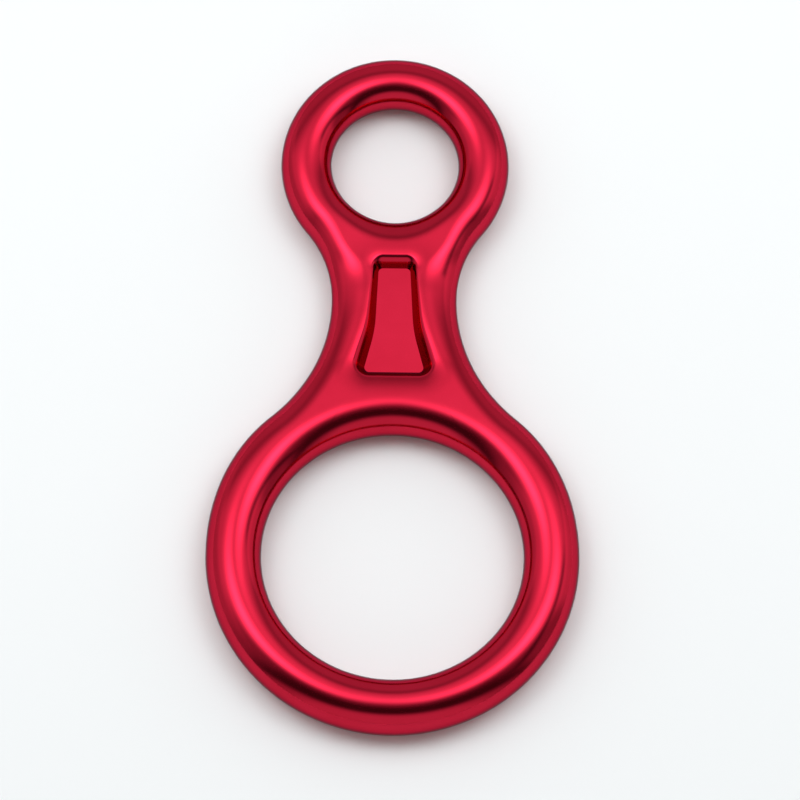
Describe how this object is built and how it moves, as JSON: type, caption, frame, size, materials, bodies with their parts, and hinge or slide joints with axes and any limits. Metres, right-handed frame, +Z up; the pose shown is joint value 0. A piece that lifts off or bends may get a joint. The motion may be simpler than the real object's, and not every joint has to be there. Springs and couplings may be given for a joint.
{
  "type": "figure eight descender",
  "caption": "Forged aluminium figure eight descender: a rope ring and a smaller carabiner eye, both of round bar section, joined by a waisted neck with a shallow pocket in each face.",
  "frame": {"origin": "middle of the part's outline, on the level surface that the large ring lies on", "axes": "+Y along the neck towards the small eye, +Z up through both holes, square to the parting plane, +X across the rings"},
  "size_m": [0.075, 0.146, 0.0112],
  "materials": {
    "anodised_aluminium": "polished and bright red anodised, mirror-like"
  },
  "bodies": {
    "root": {"forged_body": "anodised_aluminium"}
  },
  "joints": []
}
